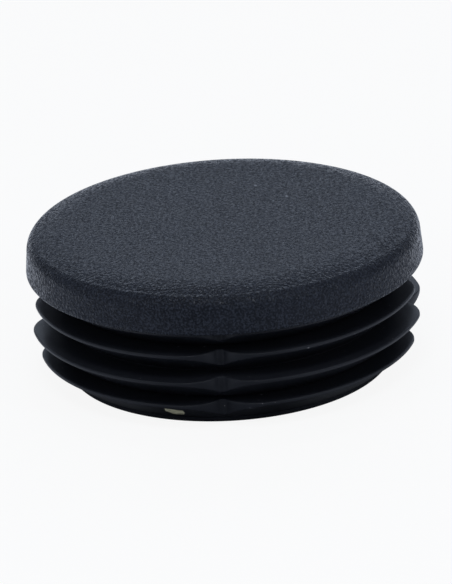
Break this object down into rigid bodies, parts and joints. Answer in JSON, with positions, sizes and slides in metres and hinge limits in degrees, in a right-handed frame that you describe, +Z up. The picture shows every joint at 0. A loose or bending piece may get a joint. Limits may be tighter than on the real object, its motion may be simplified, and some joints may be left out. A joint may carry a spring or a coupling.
{
  "type": "mast top cap",
  "caption": "Ribbed round cap that plugs the open top of a tubular mast: a grained head with rounded edges over a hollow sleeve with notched sawtooth fins.",
  "frame": {"origin": "centre of the sleeve's open end, in the plane the cap stands on", "axes": "+Z up along the axis through the head; X and Y run through the notches in the fins"},
  "size_m": [0.06, 0.06, 0.0226],
  "materials": {
    "cap_plastic": "black plastic, spark-eroded grain on the head's top and side, smooth fins and sleeve"
  },
  "bodies": {
    "root": {"ribbed_cap": "cap_plastic"}
  },
  "joints": []
}
